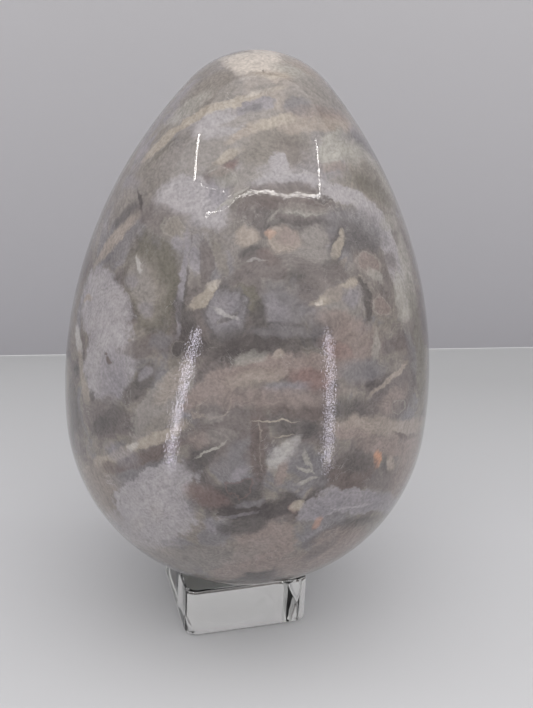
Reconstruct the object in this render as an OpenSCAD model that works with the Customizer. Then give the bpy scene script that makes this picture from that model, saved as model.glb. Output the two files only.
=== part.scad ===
// Polished agate egg standing point up in the dish of a clear moulded glass display block.
// Millimetres, +Z up. The origin lies on the table, on the egg's own axis.

/* [Egg] */
// Diameter of the egg at its widest place
egg_d = 100; // [92:1:108]
// Length of the egg from its blunt end to its tip
egg_h = 146; // [138:1:160]
// How far the widest place stands above the middle of a plain half-ball end
waist_rise = 4; // [2:0.5:8]
// Radius of the side just below the widest place
lower_side_r = 120; // [90:1:160]
// Radius of the tip
tip_r = 23.5; // [18:0.5:28]

/* [Natural pit] */
// Width of the shallow hollow that polishing has left open
pit_w = 9; // [6:0.5:14]
// Depth of the hollow
pit_depth = 1.2; // [0.6:0.1:2]
// Height of the hollow above the blunt end
pit_h = 119; // [105:1:122]
// Heading of the hollow round the egg, in degrees from +X
pit_heading = 239; // [0:1:360]

/* [Glass block] */
// Length of each side of the square block
block_w = 36; // [34:0.5:50]
// Height of the block
block_h = 15; // [12:0.5:25]
// Radius of the four upright corners
corner_r = 3.5; // [2.5:0.1:5]
// Radius of the fire-polished upper edges
top_edge_r = 1.4; // [0.8:0.1:2]
// Radius of the lower edges
foot_edge_r = 0.7; // [0.3:0.1:1.5]
// Depth of the dish that the egg stands in
dish_depth = 1.6; // [1:0.1:2]
// How far the dish lies off the middle of the block, towards +X
dish_offset = 2; // [0:0.1:2.2]
// Clearance between the egg and the dish
seat_gap = 0.3; // [0.2:0.05:0.5]

/* [Hidden] */
$fn = 128;

// The outline of the egg is four arcs, each tangent to the next. The two side arcs have their
// centres level with the widest place, and the arcs of the two ends have theirs on the axis.
egg_r = egg_d / 2;
waist_h = egg_r + waist_rise;
base_r = (egg_r * egg_r + waist_h * waist_h - 2 * egg_r * lower_side_r) / (2 * (waist_h - lower_side_r));
tip_z = egg_h - tip_r;
tip_rise = tip_z - waist_h;
upper_side_r = (egg_r * egg_r + tip_rise * tip_rise - tip_r * tip_r) / (2 * (egg_r - tip_r));
base_centre = [0, base_r];
lower_centre = [egg_r - lower_side_r, waist_h];
upper_centre = [egg_r - upper_side_r, waist_h];
tip_centre = [0, tip_z];
// Angles at which the ends hand over to the sides
base_angle = atan2(base_r - waist_h, lower_side_r - egg_r);
tip_angle = atan2(tip_rise, upper_side_r - egg_r);

// The blunt end lies in the dish, clear of it by the gap all over
egg_z = block_h - dish_depth + seat_gap;
dish_r = base_r + seat_gap;

// The hollow is cut square to the upper side by a ball whose middle stands on the side's normal
pit_angle = asin((pit_h - waist_h) / upper_side_r);
pit_ball_r = (pit_w * pit_w / 4 + pit_depth * pit_depth) / (2 * pit_depth);
pit_reach = upper_side_r + pit_ball_r - pit_depth;

// A disc's slice between two angles
module slice(centre, r, from, to) {
    reach = 2 * r;
    translate(centre) intersection() {
        circle(r);
        polygon([[0, 0], reach * [cos(from), sin(from)], reach * [cos(to), sin(to)]]);
    }
}

// The part of a slice that lies right of the egg's axis
module side_slice(centre, r, from, to) {
    intersection() {
        slice(centre, r, from, to);
        square([egg_d, egg_h]);
    }
}

// Half of the egg's outline. The slices meet edge to edge, and the polygon joins them inside.
module egg_outline() {
    low = base_centre + 0.9 * base_r * [cos(base_angle), sin(base_angle)];
    high = tip_centre + 0.9 * tip_r * [cos(tip_angle), sin(tip_angle)];
    slice(base_centre, base_r, -90, base_angle);
    side_slice(lower_centre, lower_side_r, base_angle, 0);
    side_slice(upper_centre, upper_side_r, 0, tip_angle);
    slice(tip_centre, tip_r, tip_angle, 90);
    polygon([base_centre, low, [0.9 * egg_r, waist_h], high, tip_centre]);
}

module agate_egg() {
    color([0.62, 0.58, 0.57]) translate([0, 0, egg_z]) difference() {
        rotate_extrude() egg_outline();
        rotate([0, 0, pit_heading])
            translate([upper_centre.x + pit_reach * cos(pit_angle), 0, waist_h + pit_reach * sin(pit_angle)])
                sphere(pit_ball_r);
    }
}

// A slice through the block's side, from the centre line of a corner out to the face
module side_section() {
    difference() {
        square([corner_r, block_h]);
        edge_waste(block_h, top_edge_r, -1);
        edge_waste(0, foot_edge_r, 1);
    }
}

// What a rounded edge leaves away from a square one
module edge_waste(z, r, up) {
    translate([corner_r - r, z + up * r]) difference() {
        translate([0, up > 0 ? -r : 0]) square(r);
        circle(r);
    }
}

// A square block with rounded corners and edges: four turned corners, four sides and a core
module rounded_block() {
    straight = block_w - 2 * corner_r;
    translate([-straight / 2, -straight / 2, 0]) cube([straight, straight, block_h]);
    for (turn = [0:90:270]) rotate([0, 0, turn]) translate([straight / 2, straight / 2, 0]) {
        rotate_extrude(angle = 90) side_section();
        rotate([90, 0, 0]) linear_extrude(straight) side_section();
    }
}

module glass_block() {
    color([0.8, 0.86, 0.84, 0.5]) difference() {
        translate([-dish_offset, 0, 0]) rounded_block();
        translate([0, 0, egg_z + base_r]) sphere(dish_r);
    }
}

glass_block();
agate_egg();
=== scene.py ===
"""A polished grey agate egg standing point up on a clear glass display block."""

import bpy
import numpy as np
from bpy.props import FloatProperty, FloatVectorProperty, PointerProperty
from bpy.types import Operator, Panel, PropertyGroup
from mathutils import Matrix, Vector


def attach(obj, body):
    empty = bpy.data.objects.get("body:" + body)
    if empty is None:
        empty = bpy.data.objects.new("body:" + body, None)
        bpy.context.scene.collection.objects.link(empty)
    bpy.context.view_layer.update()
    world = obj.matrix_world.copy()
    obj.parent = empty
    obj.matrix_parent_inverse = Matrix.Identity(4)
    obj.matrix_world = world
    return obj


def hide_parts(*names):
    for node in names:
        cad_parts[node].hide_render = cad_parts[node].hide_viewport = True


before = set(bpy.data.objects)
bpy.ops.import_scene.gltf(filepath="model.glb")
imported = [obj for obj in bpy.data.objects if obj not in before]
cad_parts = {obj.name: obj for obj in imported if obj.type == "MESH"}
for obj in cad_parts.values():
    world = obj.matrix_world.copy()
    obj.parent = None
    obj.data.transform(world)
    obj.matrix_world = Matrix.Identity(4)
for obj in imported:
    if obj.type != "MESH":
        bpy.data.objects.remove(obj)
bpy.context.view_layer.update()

bl_info = {
    "name": "Agate egg on a glass block",
    "version": (1, 0, 0),
    "blender": (4, 5, 0),
    "location": "3D View > Sidebar > Agate egg",
    "description": "Builds a polished agate egg, its glass display block and a pale stage",
    "category": "Object",
}

MM = 0.001


def length(name, text, default):
    """A size in metres."""
    return FloatProperty(name=name, description=text, default=default, subtype="DISTANCE", unit="LENGTH")


def colour(name, text, red, green, blue):
    """A colour, given as the 0 to 255 steps that a picture shows, and kept as linear light."""
    steps = np.array([red, green, blue]) / 255
    light = np.where(steps <= 0.04045, steps / 12.92, ((steps + 0.055) / 1.055) ** 2.4)
    return FloatVectorProperty(
        name=name, description=text, size=3, min=0, max=1, subtype="COLOR", default=light)


def number(name, text, default):
    """A number without a unit, or one whose text names the unit."""
    return FloatProperty(name=name, description=text, default=default)


class EggShape(PropertyGroup):
    """Sizes of the egg"""
    width: length("Width", "Diameter of the egg at its widest place", 0.100)
    height: length("Height", "Length of the egg from blunt end to tip", 0.146)
    waist: length("Waist height", "Height of the widest place above the blunt end", 0.054)
    lower_side: length("Lower side radius", "Radius of the side just below the widest place", 0.120)
    tip: length("Tip radius", "Radius of the tip", 0.0235)
    pit_width: length("Pit width", "Width of the hollow that polishing has left open", 0.010)
    pit_depth: length("Pit depth", "Depth of that hollow", 0.0012)
    pit_height: length("Pit height", "Height of the hollow above the blunt end", 0.119)
    pit_heading: number("Pit heading", "Heading of the hollow from +X, in degrees", 239)


class StoneColours(PropertyGroup):
    """Colours of the agate"""
    cap: colour("Cap", "Pale cream cap at the tip", 200, 191, 182)
    # Cream also paints part of the highlight on the hollow's rim
    cream: colour("Cream", "Cream inclusions", 172, 162, 150)
    sand: colour("Sand", "Warm beige bands", 162, 151, 142)
    rose: colour("Rose", "Pinkish beige bands", 144, 131, 126)
    rust: colour("Rust", "Reddish brown grains", 133, 110, 106)
    orange: colour("Amber", "Small amber spots", 196, 151, 126)
    lavender: colour("Lavender", "Pale lavender fields", 167, 162, 164)
    haze: colour("Haze", "Dull lavender clouds", 144, 139, 143)
    pale: colour("Pale", "Pale green-grey windows", 166, 162, 155)
    # Pale also paints the highlight round the hollow
    ash: colour("Ash", "Light grey clouds", 144, 138, 134)
    slate: colour("Slate", "Blue-grey clouds", 124, 120, 122)
    olive: colour("Olive", "Olive-grey clouds", 135, 128, 121)
    moss: colour("Moss", "Dark olive seams", 113, 108, 99)
    smoke: colour("Smoke", "Brown-grey ground", 118, 110, 108)
    umber: colour("Umber", "Brown hollows", 107, 96, 93)
    dark: colour("Dark", "Dark seams", 93, 88, 87)
    seam: colour("Seam", "Darkest swirls", 77, 71, 71)
    # White also paints the two glints, which are painted highlights
    white: colour("White", "Crystal flecks", 192, 188, 185)


class GlassShape(PropertyGroup):
    """Sizes and tint of the glass block"""
    width: length("Width", "Length of each side of the block", 0.036)
    height: length("Height", "Height of the block", 0.015)
    corner: length("Corner radius", "Radius of the upright corners", 0.0035)
    top_edge: length("Top edge radius", "Radius of the upper edges", 0.0014)
    foot_edge: length("Foot edge radius", "Radius of the lower edges", 0.0007)
    dish_depth: length("Dish depth", "Depth of the dish that the egg stands in", 0.0016)
    dish_offset: length("Dish offset", "How far the dish lies off the middle of the block", 0.002)
    seat_gap: length("Seat gap", "Clearance between the egg and the dish", 0.0003)
    tint: colour("Tint", "Colour of the glass", 246, 247, 243)


class StageLook(PropertyGroup):
    """Colours of the stage, and where the camera stands"""
    floor: colour("Floor", "Colour of the floor", 209, 210, 212)
    # Painted shade: the floor's colour is darker by the wall, for the shade where floor and wall meet
    floor_wall_shade: colour("Floor by the wall", "Colour of the floor by the wall", 185, 186, 187)
    # Painted shade: the wall's colour is darker at its foot, for the shade where it meets the floor
    wall_foot_shade: colour("Wall foot", "Colour of the wall at its foot", 183, 182, 187)
    wall_high: colour("Wall top", "Colour of the wall at its top", 206, 205, 208)
    heading: number("View heading", "Side that the camera looks from, in degrees", -16.7)
    elevation: number("View elevation", "Height of the camera above level, in degrees", 22.86)
    roll: number("View roll", "Turn of the camera about its own axis, in degrees", 2.79)
    distance: length("Distance", "Distance from the camera to the point it looks at", 0.2818)
    aim_side: length("Aim aside", "Aim's distance right of the egg's axis", 0.00494)
    aim_height: length("Aim height", "Height of the point that the camera looks at", 0.0790)
    lens: number("Lens", "Focal length in millimetres", 51.97)


def egg_base(egg):
    """Radius of the blunt end, which makes it tangent to the lower side on the axis."""
    a, waist, side = egg.width / 2, egg.waist, egg.lower_side
    return (a * a + waist * waist - 2 * a * side) / (2 * (waist - side))


def egg_foot(glass):
    """Height above the floor at which the egg's blunt end stands."""
    return glass.height - glass.dish_depth + glass.seat_gap


def egg_outline(egg, count):
    """Distance from the axis and height above the blunt end, at `count` places evenly along the outline.

    The outline is four arcs, each tangent to the next: blunt end, lower side, upper side and tip. The two
    side arcs have their centres level with the widest place, the end arcs on the axis.
    """
    a, waist, tip, side = egg.width / 2, egg.waist, egg.tip, egg.lower_side
    base = egg_base(egg)
    rise = egg.height - tip - waist
    upper = (a * a + rise * rise - tip * tip) / (2 * (a - tip))
    low = np.arctan2(base - waist, side - a)
    high = np.arctan2(rise, upper - a)
    arcs = [
        (0, base, base, -np.pi / 2, low),
        (a - side, waist, side, low, 0),
        (a - upper, waist, upper, 0, high),
        (0, egg.height - tip, tip, high, np.pi / 2),
    ]
    r, z = [], []
    for across, up, radius, start, end in arcs:
        turn = np.linspace(start, end, 400)
        r.append(across + radius * np.cos(turn))
        z.append(up + radius * np.sin(turn))
    r, z = np.concatenate(r), np.concatenate(z)
    run = np.concatenate([[0], np.cumsum(np.hypot(np.diff(r), np.diff(z)))])
    even = np.linspace(0, run[-1], count)
    return np.interp(even, run, r), np.interp(even, run, z)


def surface_mesh(name, first, grid, last):
    """A closed skin from an array of rows by columns by xyz.

    Each row runs round and joins its first point, and a single point closes each end of the rows.
    """
    rows, cols = grid.shape[:2]
    points = np.concatenate([[first], grid.reshape(-1, 3), [last]])
    index = 1 + np.arange(rows * cols).reshape(rows, cols)
    beside = np.roll(index, -1, axis=1)
    quads = np.stack([index[:-1], beside[:-1], beside[1:], index[1:]], axis=-1).reshape(-1, 4)
    start_fan = np.stack([np.zeros(cols, int), beside[0], index[0]], axis=-1)
    end_fan = np.stack([np.full(cols, len(points) - 1), index[-1], beside[-1]], axis=-1)
    corners = np.concatenate([quads.ravel(), start_fan.ravel(), end_fan.ravel()])
    sizes = np.concatenate([np.full(len(quads), 4), np.full(2 * cols, 3)])
    mesh = bpy.data.meshes.new(name)
    mesh.vertices.add(len(points))
    mesh.vertices.foreach_set("co", points.ravel().astype(np.float32))
    mesh.loops.add(len(corners))
    mesh.loops.foreach_set("vertex_index", corners.astype(np.int32))
    mesh.polygons.add(len(sizes))
    mesh.polygons.foreach_set("loop_start", np.concatenate([[0], np.cumsum(sizes)[:-1]]).astype(np.int32))
    mesh.update(calc_edges=True)
    mesh.validate()
    mesh.shade_smooth()
    thing = bpy.data.objects.new(name, mesh)
    bpy.context.scene.collection.objects.link(thing)
    return thing


def egg_points(egg, foot, rows=246, cols=388):
    """The egg's skin: the outline turned about the upright axis.

    Point = (r cos h, r sin h, z), with r and z from the outline and h the heading. A hollow of cosine
    section, with an uneven rim, is pressed in at the pit.
    """
    r, z = egg_outline(egg, rows + 2)
    turn = np.linspace(0, 2 * np.pi, cols, endpoint=False)
    ring, level = np.meshgrid(turn, np.arange(rows + 2), indexing="xy")
    away, up = r[level], z[level]
    skin = np.stack([away * np.cos(ring), away * np.sin(ring), up], axis=-1)
    # The pit's middle, and each point's distance from it
    pit_row = np.argmin(np.abs(z - egg.pit_height) + (z < egg.waist))
    heading = np.radians(egg.pit_heading)
    middle = np.array([r[pit_row] * np.cos(heading), r[pit_row] * np.sin(heading), z[pit_row]])
    gap = np.linalg.norm(skin - middle, axis=-1) / (egg.pit_width / 2)
    share = up / egg.height
    wobble = 1 + 0.12 * np.sin(3 * ring + 40 * share) + 0.08 * np.sin(7 * ring - 90 * share)
    hollow = 0.5 + 0.5 * np.cos(np.pi * np.clip(gap * wobble, 0, 1))
    slope_r, slope_z = np.gradient(r), np.gradient(z)
    flat = np.hypot(slope_r, slope_z)
    out_r, out_z = (slope_z / flat)[level], (-slope_r / flat)[level]
    out = np.stack([out_r * np.cos(ring), out_r * np.sin(ring), out_z], axis=-1)
    skin = skin - out * (egg.pit_depth * hollow ** 0.7)[..., None]
    skin[..., 2] += foot
    return skin[0].mean(axis=0), skin[1:-1], skin[-1].mean(axis=0)


def block_points(glass, base):
    """The block's skin: a rounded-square outline carried up the foot, the side, the top and into the dish.

    Outline point = K + q u, with K on the square through the corner centres, u the outward direction and q
    the corner radius less the inset. Over the top K slides to a circle about the dish, and the height there
    is the soft lower one of the flat top and the dish's ball.
    """
    half, corner = glass.width / 2, glass.corner
    turns, anchors = [], []
    for quarter in range(4):
        bend = np.linspace(0, np.pi / 2, 15)
        run = np.linspace(0, 1, 14)[1:-1]
        here = (half - corner) * np.array([[1, 1], [-1, 1], [-1, -1], [1, -1]])[quarter]
        there = (half - corner) * np.array([[-1, 1], [-1, -1], [1, -1], [1, 1]])[quarter]
        turns += [quarter * np.pi / 2 + bend, np.full(len(run), (quarter + 1) * np.pi / 2)]
        anchors += [np.tile(here, (len(bend), 1)), here + run[:, None] * (there - here)]
    turns, anchors = np.concatenate(turns), np.concatenate(anchors)
    outward = np.stack([np.cos(turns), np.sin(turns)], axis=-1)
    middle = np.array([-glass.dish_offset, 0])

    arc = np.linspace(0, np.pi / 2, 9)
    foot, top, high = glass.foot_edge, glass.top_edge, glass.height
    inset = np.concatenate([[corner], foot - foot * np.sin(arc), [0, 0, 0], top - top * np.cos(arc)])
    level = np.concatenate([
        [0], foot - foot * np.cos(arc), high * np.array([0.3, 0.5, 0.7]), high - top + top * np.sin(arc)])
    wall = middle + anchors[None] + (corner - inset)[:, None, None] * outward[None]
    wall = np.concatenate([wall, np.broadcast_to(level[:, None, None], wall.shape[:2] + (1,))], axis=-1)

    ball = base + glass.seat_gap
    ball_z = egg_foot(glass) + base
    rim = np.sqrt(ball ** 2 - (ball_z - high) ** 2)
    edge = middle + anchors
    circle = rim * edge / np.linalg.norm(edge, axis=-1, keepdims=True)
    slide = np.linspace(0, 1, 8)[:, None, None]
    flat = edge + slide * (1.12 * circle - edge)
    shrink = np.concatenate([np.linspace(1.1, 0.9, 14), np.linspace(0.86, 0.04, 16)])
    bowl = shrink[:, None, None] * circle
    lid = np.concatenate([flat, bowl])
    reach = np.linalg.norm(lid, axis=-1)
    dish = ball_z - np.sqrt(np.maximum(ball ** 2 - reach ** 2, 1e-9))
    soft = 0.00012
    height = high - soft * np.log1p(np.exp(np.clip((high - dish) / soft, -60, 60)))
    lid = np.concatenate([lid, height[..., None]], axis=-1)
    grid = np.concatenate([wall[1:], lid])
    start = np.array([*middle, 0.0])
    end = np.array([0, 0, ball_z - ball])
    inner = middle + 0.4 * anchors
    sole = np.concatenate([inner, np.zeros((len(inner), 1))], axis=-1)[None]
    return start, np.concatenate([sole, wall[:1], grid]), end


def feed(tree, node, entry, term):
    """Gives a node's input a value, or links it to a node's first output or to a (node, output) pair."""
    if isinstance(term, bpy.types.Node):
        term = (term, 0)
    if isinstance(term, tuple) and isinstance(term[0], bpy.types.Node):
        tree.links.new(term[0].outputs[term[1]], node.inputs[entry])
    else:
        node.inputs[entry].default_value = term


def add(tree, kind, inputs=None, **settings):
    """A node of that kind, with its settings and what its named or numbered inputs are fed."""
    node = tree.nodes.new(kind)
    for key, value in settings.items():
        setattr(node, key, value)
    for entry, term in (inputs or {}).items():
        feed(tree, node, entry, term)
    return node


def maths(tree, operation, *terms, **settings):
    """A number worked out from up to three terms."""
    return add(tree, "ShaderNodeMath", dict(enumerate(terms)), operation=operation, **settings)


def vector_maths(tree, operation, *terms):
    """A vector, or a dot product's Value, worked out from up to three terms."""
    return add(tree, "ShaderNodeVectorMath", dict(enumerate(terms)), operation=operation)


def scaled(tree, vector, factor):
    """A vector times a number."""
    return add(tree, "ShaderNodeVectorMath", {0: vector, 3: factor}, operation="SCALE")


def mapped(tree, value, start, end, low, high, **settings):
    """A number that runs from low to high while value runs from start to end."""
    return add(tree, "ShaderNodeMapRange", {
        "Value": value, "From Min": start, "From Max": end, "To Min": low, "To Max": high}, **settings)


def mixed(tree, share, below, above):
    """The colour below, covered by the colour above by that share."""
    return add(tree, "ShaderNodeMix", {0: share, 6: below, 7: above}, data_type="RGBA"), 2


def noise(tree, vector, size, detail, roughness=0.6, distortion=0.0):
    """A cloudy noise, whose first output is its value."""
    return add(tree, "ShaderNodeTexNoise", {
        "Vector": vector, "Scale": size, "Detail": detail, "Roughness": roughness, "Distortion": distortion})


def spread_noise(tree, vector, size, detail, low, high, **settings):
    """A noise whose middle range is spread from low to high."""
    return mapped(tree, noise(tree, vector, size, detail, **settings), 0.3, 0.7, low, high)


def group(name, inputs, outputs):
    """An empty node group. Each socket is given by its name and kind, and an input's by its default too."""
    tree = bpy.data.node_groups.new(name, "ShaderNodeTree")
    for title, kind, default in inputs:
        socket = tree.interface.new_socket(title, in_out="INPUT", socket_type="NodeSocket" + kind)
        if default is not None:
            socket.default_value = default
    for title, kind in outputs:
        tree.interface.new_socket(title, in_out="OUTPUT", socket_type="NodeSocket" + kind)
    return tree, tree.nodes.new("NodeGroupInput"), tree.nodes.new("NodeGroupOutput")


def place(tree, shared, **inputs):
    """A group node in a material, with what its named inputs are fed. Underscores stand for spaces."""
    node = tree.nodes.new("ShaderNodeGroup")
    node.node_tree = shared
    for key, term in inputs.items():
        feed(tree, node, key.replace("_", " "), term)
    return node


def cleared_tree(holder):
    """The emptied node tree of a material or world."""
    holder.use_nodes = True
    holder.node_tree.nodes.clear()
    return holder.node_tree


def solid(light):
    """A property's colour with full alpha, as a node input takes it."""
    return (*light, 1.0)


def flow_group(facing):
    """Object position in millimetres, bent by three scales of noise, so that straight edges run like stone.

    Placed is the position that the figures read. Behind an upright plane near the axis, which wanders with a
    slow noise, it is mirrored to the front, lifted and turned by amounts that grow with the distance behind,
    so the back has figures of its own shapes. facing is the direction in which that distance grows.
    """
    wander, lift, twist = 13.0, 0.22, 0.013
    tree, given, made = group("Stone flow", [
        ("Position", "Vector", None), ("Slow bend", "Float", 2.2), ("Quick bend", "Float", 1.5),
        ("Fine bend", "Float", 0.7)],
        [("Millimetres", "Vector"), ("Flowing", "Vector"), ("Placed", "Vector")])
    millimetres = scaled(tree, (given, "Position"), 1 / MM)
    depth = vector_maths(tree, "DOT_PRODUCT", millimetres, (*facing, 0))
    edge = spread_noise(tree, millimetres, 0.03, 1.0, -wander, wander, roughness=0.5)
    behind = maths(tree, "MAXIMUM", maths(tree, "ADD", (depth, "Value"), edge), 0.0)
    back = scaled(tree, (-2 * facing[0], -2 * facing[1], lift), behind)
    front = vector_maths(tree, "ADD", millimetres, back)
    angle = maths(tree, "MULTIPLY", behind, twist)
    turned = add(tree, "ShaderNodeVectorRotate", {"Vector": front, "Angle": angle}, rotation_type="Z_AXIS")
    bends = None
    for size, title in ((0.045, "Slow bend"), (0.19, "Quick bend"), (0.62, "Fine bend")):
        cloud = noise(tree, millimetres, size, 3.0, 0.55)
        centred = vector_maths(tree, "SUBTRACT", (cloud, "Color"), (0.5, 0.5, 0.5))
        bend = scaled(tree, centred, 1.0)
        feed(tree, bend, 3, maths(tree, "MULTIPLY", (given, title), 2.0))
        bends = vector_maths(tree, "ADD", bends, bend) if bends else bend
    feed(tree, made, "Flowing", vector_maths(tree, "ADD", millimetres, bends))
    feed(tree, made, "Placed", vector_maths(tree, "ADD", turned, bends))
    feed(tree, made, "Millimetres", millimetres)
    return tree


def figure_group(name, rimmed, deep):
    """One figure in the stone: an ellipse with its own middle and axes, each divided by its half size.

    x, y and z are the dot products of the offset from the middle with the axes, and the squared distance is
    x x + y y + z z, with Ragged added, which frays the outline. Only a deep one, near the sides or an end of
    the egg, has z, which keeps it from showing again across the egg. The figure's colour covers the colour
    below where that distance is under Outer, and fully under Inner. A rimmed figure is also bent along its
    length, with y less bend times x x for y, and its rim colour shows near 1.
    Nodes are made in the order in which they are worked out, which keeps a long chain of figures small.
    """
    rim_middle, rim_reach = 0.94, 0.3
    axes = ("Along", "Across", "Outwards")[:3 if deep else 2]
    inputs = [
        ("Below", "Color", (0.5, 0.5, 0.5, 1)), ("Flowing", "Vector", None), ("Middle", "Vector", None),
        *((axis, "Vector", None) for axis in axes), ("Ragged", "Float", 0.0), ("Inner", "Float", 0.64),
        ("Outer", "Float", 1.44), ("Strength", "Float", 1.0), ("Colour", "Color", None)]
    if rimmed:
        inputs += [("Bend", "Float", 0.0), ("Rim", "Color", None), ("Rim strength", "Float", 0.0)]
    tree, given, made = group(name, inputs, [("Colour", "Color")])
    smooth = {"interpolation_type": "SMOOTHSTEP", "clamp": False}
    offset = vector_maths(tree, "SUBTRACT", (given, "Flowing"), (given, "Middle"))
    x, y, *z = [(vector_maths(tree, "DOT_PRODUCT", offset, (given, axis)), "Value") for axis in axes]
    total = maths(tree, "MULTIPLY_ADD", x, x, (given, "Ragged"))
    if rimmed:
        y = maths(tree, "SUBTRACT", y, maths(tree, "MULTIPLY", total, (given, "Bend")))
    for part in (y, *z):
        total = maths(tree, "MULTIPLY_ADD", part, part, total)
    cover = mapped(tree, total, (given, "Outer"), (given, "Inner"), 0.0, (given, "Strength"), **smooth)
    mix = mixed(tree, cover, (given, "Below"), (given, "Colour"))
    if rimmed:
        near = maths(tree, "ABSOLUTE", maths(tree, "SUBTRACT", total, rim_middle))
        ring = mapped(tree, near, rim_reach, 0.0, 0.0, (given, "Rim strength"), **smooth)
        mix = mixed(tree, ring, mix, (given, "Rim"))
    feed(tree, made, "Colour", mix)
    return tree


def grain_group():
    """Fine structure of polished agate: mottle, growth lines that follow the flow, and hair-thin threads.

    Growth line = sine of many turns of a slow noise. Thread = where a second noise is within a hair of its
    middle value. A third noise makes each place a little lighter and warmer, or darker and cooler.
    """
    line_turns, middle_share, hair_width = 130.0, 0.6, 0.007
    drift_reach = np.array([0.17, 0.155, 0.145])
    tree, given, made = group("Stone grain", [
        ("Colour", "Color", (0.5, 0.5, 0.5, 1)), ("Millimetres", "Vector", None),
        ("Flowing", "Vector", None), ("Mottle", "Float", 0.14), ("Growth lines", "Float", 0.07),
        ("Threads", "Float", 0.35), ("Thread colour", "Color", (0.6, 0.58, 0.56, 1))],
        [("Colour", "Color")])
    millimetres, flowing = (given, "Millimetres"), (given, "Flowing")
    fine = spread_noise(tree, millimetres, 1.5, 4.0, -1.2, 1.2)
    middle = spread_noise(tree, flowing, 0.42, 4.0, -1.0, 1.0, distortion=0.4)
    both = maths(tree, "MULTIPLY_ADD", middle, middle_share, fine)
    mottle = maths(tree, "MULTIPLY", both, (given, "Mottle"))
    slow = noise(tree, flowing, 0.055, 2.5, 0.5, 0.8)
    wave = maths(tree, "SINE", maths(tree, "MULTIPLY", slow, line_turns))
    lines = maths(tree, "MULTIPLY_ADD", wave, (given, "Growth lines"), mottle)
    toned = scaled(tree, (given, "Colour"), maths(tree, "ADD", lines, 1.0))
    tints = noise(tree, flowing, 0.13, 5.0, 0.65)
    drift = vector_maths(tree, "MULTIPLY_ADD", tints, drift_reach, -drift_reach / 2)
    drifted = vector_maths(tree, "ADD", toned, drift)
    hair = noise(tree, millimetres, 0.16, 5.0, 0.55, 1.2)
    near = maths(tree, "ABSOLUTE", maths(tree, "SUBTRACT", hair, 0.5))
    thread = mapped(tree, near, hair_width, 0.0, 0.0, (given, "Threads"))
    gate = spread_noise(tree, millimetres, 0.09, 1.0, -1.2, 1.4)
    shown = maths(tree, "MULTIPLY", thread, gate, use_clamp=True)
    feed(tree, made, "Colour", mixed(tree, shown, drifted, (given, "Thread colour")))
    return tree


# Heading, in degrees, that the figures are gathered round
STONE_FRONT = 253.3

# Beyond this heading from the front, or this slope of the skin, a figure has a depth too, in millimetres
DEEP_HEADING, DEEP_SLOPE, DEEP_REACH = 55, 0.55, 34

# The stage, in metres: half the floor's width, the floor's height just under the block, how far behind the
# egg the wall stands, and how much it slants for each metre sideways
FLOOR_REACH, FLOOR_LEVEL, WALL_DISTANCE, WALL_SLANT = 3, -0.0003, 0.190, 0.167

# Each lamp: name, width, watts, whether it shows in reflections alone, and its two ends, each as metres to
# the camera's right, ahead of the camera and up
LAMP_AIM = Vector((0, 0, 0.1))
LAMPS = (
    ("left_strip", 0.004, 0.06, False, (-0.347, -0.190, 0.45), (-0.317, -0.040, 0.45)),
    ("right_strip", 0.004, 0.06, False, (0.394, -0.195, 0.45), (0.320, -0.030, 0.45)),
    ("front_strip", 0.003, 0.11, False, (-0.300, -0.349, 0.45), (0.177, -0.301, 0.45)),
    ("front_corner_strip", 0.003, 0.055, False, (0.177, -0.301, 0.45), (0.392, -0.200, 0.45)),
    ("left_edge_glow", 0.003, 0.024, True, (-0.087, -0.118, 0.016), (-0.064, -0.132, 0.119)),
    ("right_edge_glow", 0.005, 0.018, True, (0.101, -0.109, 0.016), (0.101, -0.109, 0.119)),
)

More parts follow.
